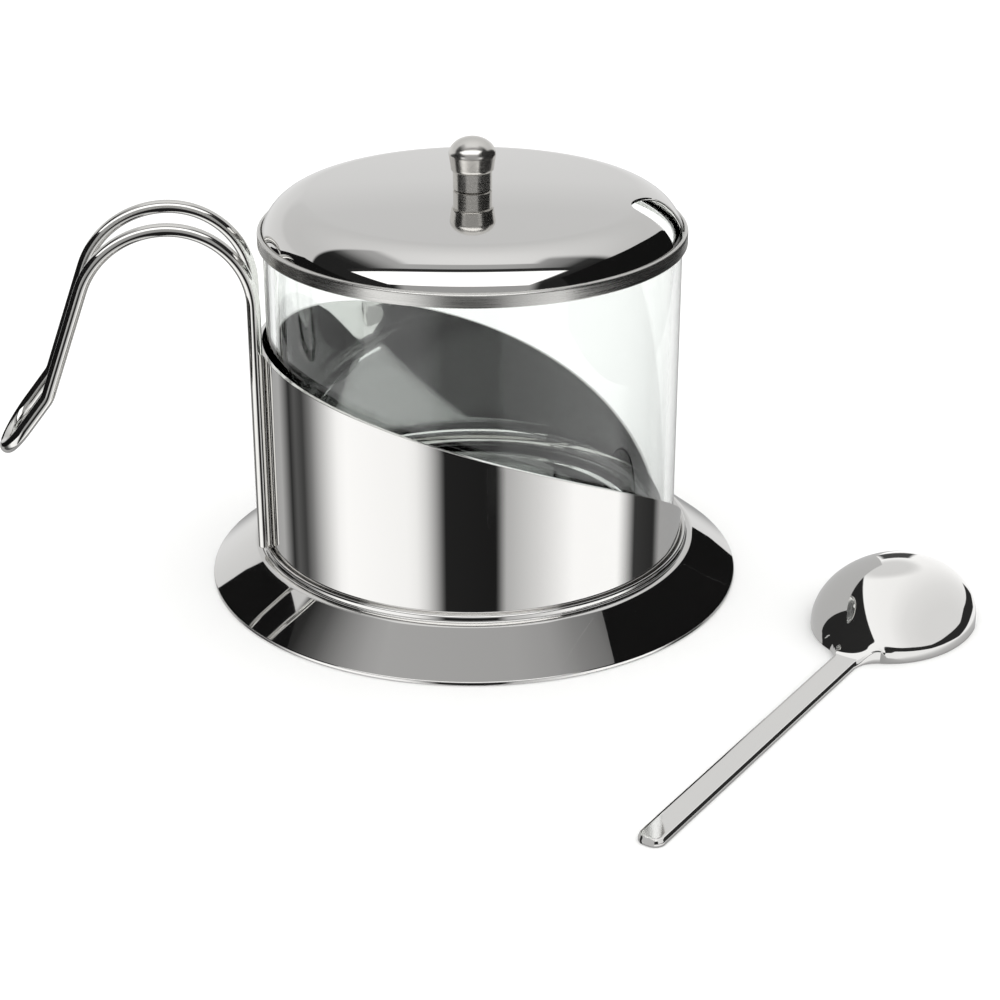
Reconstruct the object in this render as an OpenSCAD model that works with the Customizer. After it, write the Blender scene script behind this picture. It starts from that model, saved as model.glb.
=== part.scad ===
// Lidded serving bowl: a glass insert in a cut-away steel holder, with a double-wire handle,
// a steel lid with a spoon notch and a turned knob, and a spoon lying face down beside it.
// Millimetres. The bowl's axis is +Z, the table is z = 0 and the handle points along -X.

/* [Foot] */
// Flat ledge of the deck that shows outside the bead
deck_ledge = 1.11; // [0.8:0.01:2.5]
// Upright edge of the foot at the table
foot_edge = 0.8; // [0.6:0.1:1.5]
// Height of the flat deck that carries the glass
deck_z = 8.6; // [6:0.1:14]
// Width of the sloping skirt, seen from above
skirt_w = 9.85; // [8:0.1:11.5]
// Sheet thickness of the foot
foot_sheet = 0.9; // [0.6:0.1:1.2]
// Width of the bead around the bottom of the sleeve
bead_w = 1.1; // [0.8:0.1:1.4]
// Height of the bead above the deck
bead_h = 1.5; // [1.2:0.1:2.5]

/* [Glass insert] */
// Outer diameter of the glass
glass_d = 88.2; // [78:0.2:98]
// Height of the glass
glass_h = 69; // [60:0.1:90]
// Thickness of the glass wall
glass_wall = 2; // [1.5:0.1:3]
// Thickness of the glass bottom
glass_floor = 3.4; // [2.5:0.1:6]
// Rounding inside the bottom corner of the glass
glass_corner = 4; // [3:0.5:8]

/* [Sleeve] */
// Running gap between the glass and the sleeve
glass_gap = 1; // [0.4:0.05:1.2]
// Sheet thickness of the sleeve
sleeve_sheet = 0.8; // [0.5:0.1:1.2]
// Height of the sleeve's top edge at the handle
sleeve_high = 54.6; // [45:0.1:58]
// How far the top edge falls on its way round to the side opposite the handle
sleeve_fall = 46.5; // [20:0.1:50]
// Least height that is left of the sleeve above the bead
sleeve_ring = 0.6; // [0.3:0.1:10]

/* [Handle] */
// Wire diameter
wire_d = 2.8; // [2:0.1:3.5]
// Distance between the centres of the two wires
wire_pitch = 16.6; // [10:0.1:20]
// Length of the upright wires
upright_len = 54.6; // [50:0.1:60]
// Radius of the bend that leaves the upright
rise_r = 17.4; // [14:0.1:22]
// Radius of the bend that comes down again
fall_r = 18.8; // [14:0.1:24]
// Turn of the bend that comes down, in degrees
fall_turn = 70; // [60:1:75]
// Length of the straight grip
grip_len = 23.6; // [20:0.1:32]
// Radius of the outward kink at the end of the grip
kink_r = 6; // [4:0.5:16]
// Turn of the kink, in degrees
kink_turn = 18; // [10:0.2:25]
// Length of the straight wires after the kink
tip_len = 7.2; // [6:0.1:16]

/* [Lid] */
// Height of the lid's crest above the lower edge of its shell
lid_rise = 7.4; // [5:0.1:9]
// Radius of the lid's rounded shoulder
shoulder_r = 10.3; // [9.4:0.1:13]
// Radius of the nearly flat dome on top of the lid
dome_r = 800; // [400:10:2000]
// Sheet thickness of the lid
lid_sheet = 0.6; // [0.5:0.1:0.8]
// Radial gap between the glass and the lid's band
lid_gap = 0.3; // [0.3:0.01:0.8]
// Width of the band, from its inside to its outside
band_w = 0.8; // [0.8:0.01:2]
// Height of the band
band_h = 3; // [2:0.1:5]
// How far the band stands above the lower edge of the shell
band_over = 0.6; // [0.4:0.1:1]
// Width of the spoon notch
notch_w = 12.8; // [8:0.1:16]
// Distance from the lid's axis to the inner end of the notch
notch_in = 33.7; // [26:0.1:36]
// Direction of the notch from +X, in degrees
notch_turn = -20; // [-60:1:60]

/* [Knob] */
// Diameter of the knob's waist
waist_d = 8.2; // [7:0.1:8.8]
// Height of the waist
waist_h = 3.9; // [2:0.1:5]
// Diameter where the head starts
head_low_d = 9; // [8.9:0.1:9.6]
// Largest diameter of the head
head_d = 9.9; // [9.7:0.1:13]
// Height of the flared part of the head
flare_h = 3.2; // [2:0.1:6]
// Height of the small step between the waist and the head
step_h = 0.3; // [0.2:0.1:0.6]
// Height of the rounded top
cap_h = 3.7; // [2:0.1:5]
// Diameter of the screw that holds the knob
screw_d = 3; // [2.5:0.1:4]
// How far the screw reaches into the knob
screw_in = 6; // [3:0.1:7]
// Diameter of the screw's head
screw_head_d = 5.6; // [5:0.1:8]
// Height of the screw's head
screw_head_h = 1.8; // [1.4:0.1:2.5]
// Diameter of the washer
washer_d = 8; // [7:0.1:12]
// Thickness of the washer
washer_h = 0.6; // [0.4:0.1:1]

/* [Spoon] */
// Length of the spoon's bowl
bowl_len = 42.4; // [36:0.1:50]
// Width of the spoon's bowl
bowl_w = 33.1; // [28:0.1:40]
// Height of the bowl's back above its rim
bowl_rise = 11.5; // [6:0.1:12]
// Height of the rim's edge, which is also the thickness of the handle
spoon_edge = 1.4; // [1:0.1:2]
// Sheet thickness of the bowl
bowl_sheet = 1; // [0.8:0.1:1.3]
// Length of the spoon's handle
spoon_handle_len = 83.3; // [60:0.1:110]
// Width of the spoon's handle
spoon_handle_w = 5.3; // [5:0.1:9]
// Rounding where the handle meets the bowl
neck_r = 6; // [3:0.1:8]
// Rounding of the corners at the handle's end
spoon_end_r = 2.2; // [1:0.1:3.2]
// Place of the spoon's handle end on the table, along X
spoon_x = 17.2; // [10:0.1:60]
// Place of the spoon's handle end on the table, along Y
spoon_y = -118.7; // [-160:0.1:-110]
// Direction of the spoon from +X, in degrees
spoon_turn = 49.3; // [30:0.1:60]

/* [Fits] */
// Gap left between welded or pressed pieces
weld_gap = 0.04; // [0.02:0.01:0.1]
// Gap under a piece that rests on another one
seat_gap = 0.3; // [0.1:0.05:0.5]
// Radial clearance of the screw in the lid and in the knob
screw_gap = 0.08; // [0.05:0.01:0.1]

/* [Hidden] */
round_fn = 180;
wire_fn = 48;
small_fn = 64;
arc_steps = 12;
edge_steps = 48;
cap_steps = 10;
cut_over = 1;
quarter = 90;
half_turn = 180;

glass_r = glass_d / 2;
sleeve_in_r = glass_r + glass_gap;
sleeve_r = sleeve_in_r + sleeve_sheet;
bead_in_r = sleeve_r + weld_gap;
bead_top_z = deck_z + bead_h;
deck_r = bead_in_r + bead_w + deck_ledge;
foot_r = deck_r + skirt_w;
skirt_rise = deck_z - foot_edge;
skirt_len = sqrt(pow(skirt_w, 2) + pow(skirt_rise, 2));
skirt_sheet_w = foot_sheet * skirt_len / skirt_rise;
skirt_in_r = foot_r - skirt_sheet_w;
edge_w = skirt_sheet_w / 2;
under_z = deck_z - foot_sheet;
under_r = skirt_in_r - (under_z - foot_edge) * skirt_w / skirt_rise;

wire_r = wire_d / 2;
wire_off = wire_pitch / 2;
joint_over = 0.005;
joint_len = 0.2;
joint_skip = 0.01;
wire_x = sqrt(pow(sleeve_r + wire_r + weld_gap, 2) - pow(wire_off, 2));
wire_z = bead_top_z + weld_gap;

glass_top_z = deck_z + glass_h;
glass_in_r = glass_r - glass_wall;
lip_r = glass_wall / 2;
glass_foot_r = glass_wall;

lid_z = glass_top_z + seat_gap;
band_in_r = glass_r + lid_gap;
band_r = band_in_r + band_w;
band_top_z = lid_z + band_over;
shell_edge_r = band_in_r - weld_gap;
shoulder_z = lid_z + lid_rise - shoulder_r;
shoulder_x = shell_edge_r - sqrt(pow(shoulder_r, 2) - pow(lid_z - shoulder_z, 2));
dome_z = shoulder_z - sqrt(pow(dome_r - shoulder_r, 2) - pow(shoulder_x, 2));
dome_lean = asin(shoulder_x / (dome_r - shoulder_r));
lid_top_z = dome_z + dome_r;
edge_lean = asin((lid_z - shoulder_z) / shoulder_r);
edge_lean_in = asin((lid_z - shoulder_z) / (shoulder_r - lid_sheet));

screw_r = screw_d / 2;
screw_hole_r = screw_r + screw_gap;
knob_z = lid_top_z + weld_gap;
washer_top_z = lid_top_z - lid_sheet - weld_gap;
screw_head_z = washer_top_z - washer_h - screw_head_h;
screw_top_z = knob_z + screw_in;
head_z = waist_h + step_h;
cap_z = head_z + flare_h;

bowl_half = bowl_len / 2;
bowl_x = spoon_handle_len + bowl_half;
bowl_squash = bowl_w / bowl_len;
bowl_power = 0.8;

steel = "silver";
clear_glass = [0.8, 0.9, 0.88, 0.35];

// Points of a round arc about (x, z), from angle a to angle b, counted from +X
function arc(x, z, r, a, b, steps = arc_steps) =
    [for (i = [0 : steps]) let (t = a + (b - a) * i / steps) [x + r * cos(t), z + r * sin(t)]];

// Height of the sleeve's top edge at a turn, in degrees, away from the handle
function sleeve_edge_z(turn) =
    max(bead_top_z + sleeve_ring, sleeve_high - sleeve_fall * pow(turn / half_turn, 2));

// Half of the spoon's dome, from its rim to its top, for a half length and a height
function dome_curve(half, rise, base) =
    [for (i = [0 : arc_steps]) let (t = quarter * i / arc_steps)
        [half * cos(t), base + rise * pow(sin(t), bowl_power)]];

module foot_skin() {
    rotate_extrude($fn = round_fn)
        polygon([[0, under_z], [under_r, under_z], [skirt_in_r, foot_edge],
                 [foot_r - edge_w, foot_edge], [foot_r - edge_w, 0], [foot_r, 0],
                 [foot_r, foot_edge], [deck_r, deck_z], [0, deck_z]]);
}

module foot_bead() {
    rotate_extrude($fn = round_fn)
        translate([bead_in_r + bead_w / 2, 0]) {
            translate([-bead_w / 2, deck_z - foot_sheet / 2])
                square([bead_w, bead_h + foot_sheet / 2 - bead_w / 2]);
            translate([0, bead_top_z - bead_w / 2])
                circle(d = bead_w, $fn = wire_fn);
        }
}

module foot() {
    color(steel) union() {
        foot_skin();
        foot_bead();
    }
}

module base_plate() {
    color(steel)
        cylinder(r = foot_r - edge_w - weld_gap, h = foot_edge, $fn = round_fn);
}

// Everything above the sleeve's curved top edge, as seen from the side
module sleeve_waste() {
    top = sleeve_high + cut_over;
    reach = sleeve_r + cut_over;
    edge = [for (i = [0 : edge_steps]) let (t = half_turn * i / edge_steps)
        [-reach * cos(t), sleeve_edge_z(t)]];
    rotate([quarter, 0, 0])
        linear_extrude(height = 2 * reach, center = true)
            polygon(concat(edge, [[reach, top], [-reach, top]]));
}

module sleeve() {
    color(steel) difference() {
        translate([0, 0, deck_z])
            cylinder(r = sleeve_r, h = sleeve_high - deck_z, $fn = round_fn);
        translate([0, 0, deck_z - cut_over])
            cylinder(r = sleeve_in_r, h = sleeve_high - deck_z + 2 * cut_over, $fn = round_fn);
        sleeve_waste();
    }
}

// The weld between two stretches of wire: a hair thicker than the wire, so that they join soundly
module joint() {
    for (side = [-1, 1])
        translate([0, side * wire_off, 0])
            cylinder(r = wire_r + joint_over, h = joint_len, center = true, $fn = wire_fn);
    translate([0, 0, joint_skip]) children();
}

// Two straight wires along +Z; what follows starts at their far ends
module run(length) {
    for (side = [-1, 1])
        translate([0, side * wire_off, 0])
            cylinder(r = wire_r, h = length, $fn = wire_fn);
    translate([0, 0, length]) joint() children();
}

// Two wires bent in the XZ plane, towards +X, or towards -X where away is true
module bend(radius, turn, away = false) {
    mirror([away ? 1 : 0, 0, 0]) {
        for (side = [-1, 1])
            translate([radius, side * wire_off, 0])
                rotate([quarter, 0, half_turn])
                    rotate_extrude(angle = turn, $fn = round_fn)
                        translate([radius, 0]) circle(r = wire_r, $fn = wire_fn);
    }
    way = away ? -1 : 1;
    translate([way * radius * (1 - cos(turn)), 0, radius * sin(turn)])
        rotate([0, way * turn, 0]) joint() children();
}

// The half round bend that joins the two wires at the tip
module joining_bend() {
    rotate([quarter, 0, quarter])
        rotate_extrude(angle = half_turn, $fn = round_fn)
            translate([wire_off, 0]) circle(r = wire_r, $fn = wire_fn);
}

module handle() {
    color(steel)
        translate([-wire_x, 0, wire_z])
            rotate([0, 0, half_turn])
                run(upright_len)
                    bend(rise_r, quarter)
                        bend(fall_r, fall_turn)
                            run(grip_len)
                                bend(kink_r, kink_turn, away = true)
                                    run(tip_len)
                                        joining_bend();
}

module glass_insert() {
    outside = concat([[0, 0]], arc(glass_r - glass_foot_r, glass_foot_r, glass_foot_r, -quarter, 0));
    lip = arc(glass_r - lip_r, glass_h - lip_r, lip_r, 0, half_turn);
    inside = arc(glass_in_r - glass_corner, glass_floor + glass_corner, glass_corner, 0, -quarter);
    color(clear_glass)
        translate([0, 0, deck_z])
            rotate_extrude($fn = round_fn)
                polygon(concat(outside, lip, inside, [[0, glass_floor]]));
}

// The spoon notch: a slot with a round inner end, cut down through the shell
module notch_cut() {
    round_x = notch_in + notch_w / 2;
    rotate([0, 0, notch_turn])
        translate([0, 0, lid_z - cut_over])
            linear_extrude(height = lid_rise + 2 * cut_over) {
                translate([round_x, 0]) circle(d = notch_w, $fn = small_fn);
                translate([round_x, -notch_w / 2]) square([band_r - round_x, notch_w]);
            }
}

module lid_shell() {
    outer = concat(arc(shoulder_x, shoulder_z, shoulder_r, edge_lean, quarter - dome_lean),
                   arc(0, dome_z, dome_r, quarter - dome_lean, quarter));
    inner = concat(arc(0, dome_z, dome_r - lid_sheet, quarter, quarter - dome_lean),
                   arc(shoulder_x, shoulder_z, shoulder_r - lid_sheet, quarter - dome_lean, edge_lean_in));
    color(steel) difference() {
        rotate_extrude($fn = round_fn) polygon(concat(outer, inner));
        translate([0, 0, lid_z])
            cylinder(r = screw_hole_r, h = lid_rise + 2 * cut_over, $fn = small_fn);
        notch_cut();
    }
}

module lid_band() {
    color("lightgray")
        rotate_extrude($fn = round_fn)
            translate([band_in_r, band_top_z - band_h]) square([band_w, band_h]);
}

module knob() {
    cap = [for (i = [0 : cap_steps]) let (t = quarter * i / cap_steps)
        [head_d / 2 * cos(t), cap_z + cap_h * sin(t)]];
    color(steel) translate([0, 0, knob_z]) difference() {
        rotate_extrude($fn = small_fn)
            polygon(concat([[0, 0], [waist_d / 2, 0], [waist_d / 2, waist_h],
                            [head_low_d / 2, head_z]], cap));
        translate([0, 0, -cut_over])
            cylinder(r = screw_hole_r, h = screw_in + 2 * cut_over, $fn = small_fn);
    }
}

module knob_screw() {
    color("gainsboro") union() {
        translate([0, 0, screw_head_z])
            cylinder(d = screw_head_d, h = screw_head_h, $fn = small_fn);
        translate([0, 0, screw_head_z])
            cylinder(r = screw_r, h = screw_top_z - screw_head_z, $fn = small_fn);
    }
}

module washer() {
    color("gainsboro") translate([0, 0, washer_top_z - washer_h]) difference() {
        cylinder(d = washer_d, h = washer_h, $fn = small_fn);
        translate([0, 0, -cut_over])
            cylinder(r = screw_hole_r, h = washer_h + 2 * cut_over, $fn = small_fn);
    }
}

// An oval as long and as wide as the spoon's bowl, less a margin all round
module bowl_oval(margin) {
    translate([bowl_x, 0])
        scale([1, (bowl_w - 2 * margin) / (bowl_len - 2 * margin)])
            circle(r = bowl_half - margin, $fn = round_fn);
}

// The spoon seen from above, with its handle's end at the origin
module spoon_outline() {
    offset(r = -neck_r, $fn = small_fn) offset(delta = neck_r) {
        bowl_oval(0);
        translate([spoon_end_r, 0])
            offset(r = spoon_end_r, $fn = small_fn)
                translate([0, spoon_end_r - spoon_handle_w / 2])
                    square([bowl_x - 2 * spoon_end_r, spoon_handle_w - 2 * spoon_end_r]);
    }
}

// A solid dome over the spoon's oval, from its rim up
module bowl_dome(margin, base) {
    half = bowl_half - margin;
    translate([bowl_x, 0, 0])
        scale([1, (bowl_w - 2 * margin) / (bowl_len - 2 * margin), 1])
            rotate_extrude($fn = round_fn / 2)
                polygon(concat([[0, -cut_over], [half, -cut_over]],
                               dome_curve(half, bowl_rise, base)));
}

module spoon() {
    color(steel)
        translate([spoon_x, spoon_y, 0])
            rotate([0, 0, spoon_turn])
                difference() {
                    union() {
                        linear_extrude(height = spoon_edge) spoon_outline();
                        intersection() {
                            bowl_dome(0, spoon_edge);
                            linear_extrude(height = spoon_edge + bowl_rise + cut_over) bowl_oval(0);
                        }
                    }
                    bowl_dome(bowl_sheet, spoon_edge - bowl_sheet);
                }
}

foot();
base_plate();
sleeve();
handle();
glass_insert();
lid_shell();
lid_band();
knob();
knob_screw();
washer();
spoon();
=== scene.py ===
"""Lidded bowl: a glass insert in a cut-away steel holder with a wire handle, a notched lid with a
turned knob, and a spoon lying face down. Lengths are worked out in millimetres and stored in
metres."""
import math

import bmesh
import bpy
from mathutils import Matrix, Vector


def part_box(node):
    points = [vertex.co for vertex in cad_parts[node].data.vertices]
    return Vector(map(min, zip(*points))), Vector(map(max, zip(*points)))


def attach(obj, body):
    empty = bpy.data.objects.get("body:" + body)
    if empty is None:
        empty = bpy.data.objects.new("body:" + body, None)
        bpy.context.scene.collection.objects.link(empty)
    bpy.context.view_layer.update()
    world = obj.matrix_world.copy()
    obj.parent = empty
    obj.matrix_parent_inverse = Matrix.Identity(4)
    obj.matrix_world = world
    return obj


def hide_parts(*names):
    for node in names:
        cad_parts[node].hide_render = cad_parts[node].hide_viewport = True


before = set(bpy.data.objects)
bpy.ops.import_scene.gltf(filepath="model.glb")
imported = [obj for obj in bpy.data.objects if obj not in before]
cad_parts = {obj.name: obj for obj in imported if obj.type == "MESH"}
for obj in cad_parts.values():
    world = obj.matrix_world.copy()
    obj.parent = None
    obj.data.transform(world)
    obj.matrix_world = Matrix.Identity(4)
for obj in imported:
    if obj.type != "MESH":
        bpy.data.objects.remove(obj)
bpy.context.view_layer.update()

MM = 0.001
QUARTER = math.pi / 2
FULL_TURN = 2 * math.pi
SPIN_STEPS = 288
SHARP_ANGLE = math.radians(32)


def corner(name, side):
    """The lowest (0) or highest (1) corner of a CAD node, in millimetres."""
    return [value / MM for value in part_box(name)[side]]


# ---- Sizes read from the frame, in millimetres -------------------------------------------------
FOOT_R = corner("foot", 1)[0]
BEAD_TOP_Z = corner("foot", 1)[2]
FOOT_EDGE = corner("base_plate", 1)[2]
GLASS_R = corner("glass_insert", 1)[0]
DECK_Z = corner("glass_insert", 0)[2]
GLASS_TOP_Z = corner("glass_insert", 1)[2]
SLEEVE_R = corner("sleeve", 1)[0]
SLEEVE_HIGH = corner("sleeve", 1)[2]
WIRE_Z = corner("handle", 0)[2]
BAND_R = corner("lid_band", 1)[0]
BAND_LOW_Z, BAND_TOP_Z = corner("lid_band", 0)[2], corner("lid_band", 1)[2]
LID_Z, LID_TOP_Z = corner("lid_shell", 0)[2], corner("lid_shell", 1)[2]
KNOB_Z, KNOB_TOP_Z = corner("knob", 0)[2], corner("knob", 1)[2]
KNOB_R = corner("knob", 1)[0]
SCREW_Z = corner("knob_screw", 0)[2]
SCREW_HEAD_R = corner("knob_screw", 1)[0]
WASHER_R = corner("washer", 1)[0]
WASHER_Z, WASHER_TOP_Z = corner("washer", 0)[2], corner("washer", 1)[2]

# ---- Sizes that the frame's boxes don't give, in millimetres -----------------------------------
SKIRT_W = 9.85
FOOT_SHEET = 0.9
PLATE_RING, PLATE_DENT = 9.0, 0.3
BEAD_W = 1.1
BEAD_IN_R = SLEEVE_R + 0.04
SLEEVE_SHEET = 0.8
SLEEVE_FALL = 46.5
SLEEVE_RING = 0.6
GLASS_WALL = 2.0
GLASS_FLOOR = 3.4
GLASS_CORNER = 4.0
GLASS_PUNT = 0.6
WIRE_R = 1.4
WIRE_OFF = 8.3
WIRE_RISE, WIRE_FALL, WIRE_TIP = 54.6, 23.6, 7.2
WIRE_BEND_RS = (17.4, 18.8, 6.0)
WIRE_BEND_DEGREES = (90, 70, -18)
WIRE_X = math.sqrt((SLEEVE_R + WIRE_R + 0.04) ** 2 - WIRE_OFF ** 2)
LID_RISE = 7.4
SHOULDER_R = 10.3
DOME_R = 800.0
LID_SHEET = 0.6
BAND_W = 0.8
SHELL_EDGE_R = BAND_R - BAND_W - 0.04
NOTCH_W = 12.8
NOTCH_IN = 33.7
NOTCH_TURN = math.radians(-20)
WAIST_R, HEAD_LOW_R = 4.1, 4.5
SCREW_R, SCREW_ROUND = 1.5, 1.2
SCREW_TURNS = 10
HOLE_R = 1.58
LID_HOLE_R = 1.2
SPOON_X, SPOON_Y = 17.2, -118.7
SPOON_TURN = math.radians(49.3)
SPOON_HANDLE_LEN = 83.3
SPOON_HANDLE_W = 5.3
BOWL_HALF_LEN, BOWL_HALF_W = 21.2, 16.55
BOWL_RISE = 11.5
SPOON_EDGE = 1.4
SPOON_WALL = 0.55
BOWL_SHEET = 1.0
NECK_R = 6.0
NECK_SOFT = 3.4
SPOON_END_R = 2.2
# The handle's bevel: the distance in from the edge, and the height there
SPOON_BEVEL = [(0, SPOON_WALL), (0.32, SPOON_EDGE - 0.05), (0.45, SPOON_EDGE - 0.01),
               (0.7, SPOON_EDGE)]
# Where the spoon's rows of points lie in from its edge, as shares of its outer band
EDGE_SHARES = [0, 0.09, 0.2, 0.29, 0.355, 0.42, 0.5, 0.65, 0.78, 1]

# ---- The studio --------------------------------------------------------------------------------
STUDIO_TURN = math.radians(6)
BLACK, FLAG_BLACK = 0.025, 0.008
FLAG_X = 170
FILM_GAP = 0.01
CARD_ROW, CARD_HEIGHTS = 30.2, (-25, 36)
CAMERA_LENS = 79.5
CAMERA_PLACE = (-48.9, -443.8, 216.9)
CAMERA_TILT, CAMERA_TURN = 0.4251, -0.1226


# ---- Profiles ----------------------------------------------------------------------------------
def arc(x, z, radius, start, end, steps=10):
    """Points of a round arc in a profile, from one angle to another, in degrees from +X."""
    points = []
    for i in range(steps + 1):
        turn = math.radians(start + (end - start) * i / steps)
        points.append((x + radius * math.cos(turn), z + radius * math.sin(turn)))
    return points


def unit(x, z):
    """The direction of a vector in a profile, one long."""
    length = math.hypot(x, z)
    return x / length, z / length


def eased(points, radii, steps=5, closed=True):
    """The same outline with round corners: one radius for each point, 0 for a sharp one."""
    eased_points = []
    count = len(points)
    for i, (point, radius) in enumerate(zip(points, radii)):
        ends = not closed and i in (0, count - 1)
        if radius == 0 or ends:
            eased_points.append(point)
            continue
        before, after = points[i - 1], points[(i + 1) % count]
        to_before = unit(before[0] - point[0], before[1] - point[1])
        to_after = unit(after[0] - point[0], after[1] - point[1])
        cosine = to_before[0] * to_after[0] + to_before[1] * to_after[1]
        half = math.acos(max(-1, min(1, cosine))) / 2
        reach = radius / math.tan(half)
        middle = unit(to_before[0] + to_after[0], to_before[1] + to_after[1])
        centre = [point[k] + middle[k] * radius / math.sin(half) for k in (0, 1)]
        first = math.atan2(*[point[k] + to_before[k] * reach - centre[k] for k in (1, 0)])
        last = math.atan2(*[point[k] + to_after[k] * reach - centre[k] for k in (1, 0)])
        swing = (last - first + math.pi) % FULL_TURN - math.pi
        for j in range(steps + 1):
            turn = first + swing * j / steps
            eased_points.append((centre[0] + radius * math.cos(turn),
                                 centre[1] + radius * math.sin(turn)))
    return eased_points


def draw_loop(bm, points, closed=True):
    """Draws a profile of (x, z) points as edges in the XZ plane."""
    verts = [bm.verts.new((x * MM, 0, z * MM)) for x, z in points]
    pairs = list(zip(verts, verts[1:] + verts[:1])) if closed else list(zip(verts, verts[1:]))
    for a, b in pairs:
        bm.edges.new((a, b))


def spun(points, closed=True, steps=SPIN_STEPS):
    """A solid turned from a profile about the bowl's axis."""
    bm = bmesh.new()
    draw_loop(bm, points, closed)
    bmesh.ops.spin(bm, geom=bm.verts[:] + bm.edges[:], cent=(0, 0, 0), axis=(0, 0, 1),
                   angle=FULL_TURN, steps=steps, use_merge=True)
    bmesh.ops.remove_doubles(bm, verts=bm.verts[:], dist=MM * 0.002)
    bmesh.ops.dissolve_degenerate(bm, edges=bm.edges[:], dist=MM * 0.001)
    bmesh.ops.recalc_face_normals(bm, faces=bm.faces[:])
    return bm


def soften(bm, edges, width, segments=3):
    """Rounds edges to a small width in millimetres."""
    bmesh.ops.bevel(bm, geom=edges, offset=width * MM, offset_type="OFFSET", affect="EDGES",
                    segments=segments, profile=0.5, material=-1, clamp_overlap=True)


def piece(bm, name, body, material, slot, *nodes):
    """Turns a finished bmesh into a named piece that rides on its body and stands for CAD nodes."""
    bmesh.ops.recalc_face_normals(bm, faces=bm.faces[:])
    mesh = bpy.data.meshes.new(name)
    bm.to_mesh(mesh)
    bm.free()
    mesh.shade_smooth()
    mesh.set_sharp_from_angle(angle=SHARP_ANGLE)
    mesh.materials.append(material)
    obj = bpy.data.objects.new(name, mesh)
    bpy.context.scene.collection.objects.link(obj)
    weighted = obj.modifiers.new("even_normals", "WEIGHTED_NORMAL")
    weighted.keep_sharp = True
    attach(obj, body)
    if nodes:
        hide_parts(*nodes)
    return obj


# ---- Materials ---------------------------------------------------------------------------------
def linear(hex_colour):
    """An sRGB hex colour as linear RGBA."""
    channels = [int(hex_colour[i:i + 2], 16) / 255 for i in (1, 3, 5)]
    return [c / 12.92 if c <= 0.04045 else ((c + 0.055) / 1.055) ** 2.4 for c in channels] + [1.0]


def add_node(tree, kind, settings=None, inputs=None):
    """Adds a node: settings are its own, and an input is a value or an output to link from."""
    new = tree.nodes.new(kind)
    for name, value in (settings or {}).items():
        setattr(new, name, value)
    for name, value in (inputs or {}).items():
        if isinstance(value, bpy.types.NodeSocket):
            tree.links.new(value, new.inputs[name])
        else:
            new.inputs[name].default_value = value
    return new


def new_material(name):
    """An empty material: its tree and its output node."""
    material = bpy.data.materials.new(name)
    material.use_nodes = True
    material.node_tree.nodes.clear()
    output = add_node(material.node_tree, "ShaderNodeOutputMaterial")
    return material, material.node_tree, output


def per_mm(spacing):
    """The texture scale, per metre, of a pattern that repeats every so many millimetres."""
    return 1 / (spacing * MM)


def polished_steel(name, colour, low_rough, high_rough, smear_mm=14.0):
    """Mirror-polished 18/10 stainless: pressed, then buffed, so reflections are sharp, with faint
    wipe marks that soften them a little here and there."""
    material, tree, output = new_material(name)
    place = add_node(tree, "ShaderNodeTexCoord").outputs["Object"]
    smears = add_node(tree, "ShaderNodeTexNoise", inputs={
        "Vector": place, "Scale": per_mm(smear_mm), "Detail": 3.0, "Roughness": 0.55})
    rough = add_node(tree, "ShaderNodeMapRange", {"clamp": True}, {
        "Value": smears.outputs["Fac"], "From Min": 0.35, "From Max": 0.7,
        "To Min": low_rough, "To Max": high_rough})
    shader = add_node(tree, "ShaderNodeBsdfPrincipled", inputs={
        "Base Color": linear(colour), "Metallic": 1.0, "Roughness": rough.outputs["Result"]})
    tree.links.new(shader.outputs["BSDF"], output.inputs["Surface"])
    return material


def brushed_steel(name, colour, low_rough, high_rough, line_mm, squash, bump_mm):
    """Stainless with fine lines left by an abrasive belt that ran round it: the lines lie across
    the bowl's axis, and they spread each highlight up and down."""
    material, tree, output = new_material(name)
    place = add_node(tree, "ShaderNodeTexCoord").outputs["Object"]
    stretched = add_node(tree, "ShaderNodeMapping", {"vector_type": "POINT"}, {
        "Vector": place, "Scale": (squash, squash, 1.0)})
    lines = add_node(tree, "ShaderNodeTexNoise", inputs={
        "Vector": stretched.outputs["Vector"], "Scale": per_mm(line_mm), "Detail": 4.0,
        "Roughness": 0.7})
    rough = add_node(tree, "ShaderNodeMapRange", {"clamp": True}, {
        "Value": lines.outputs["Fac"], "From Min": 0.3, "From Max": 0.7,
        "To Min": low_rough, "To Max": high_rough})
    bump = add_node(tree, "ShaderNodeBump", inputs={
        "Strength": 0.5, "Distance": bump_mm * MM, "Height": lines.outputs["Fac"]})
    shader = add_node(tree, "ShaderNodeBsdfPrincipled", inputs={
        "Base Color": linear(colour), "Metallic": 1.0, "Roughness": rough.outputs["Result"],
        "Normal": bump.outputs["Normal"]})
    tree.links.new(shader.outputs["BSDF"], output.inputs["Surface"])
    return material


def clear_glass(name):
    """Pressed soda-lime glass, fire-polished: clear, with the faint green of its iron."""
    material, tree, output = new_material(name)
    shader = add_node(tree, "ShaderNodeBsdfPrincipled", inputs={
        "Base Color": linear("#FBFDFC"), "Roughness": 0.0, "IOR": 1.52, "Transmission Weight": 1.0})
    tree.links.new(shader.outputs["BSDF"], output.inputs["Surface"])
    return material


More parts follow.
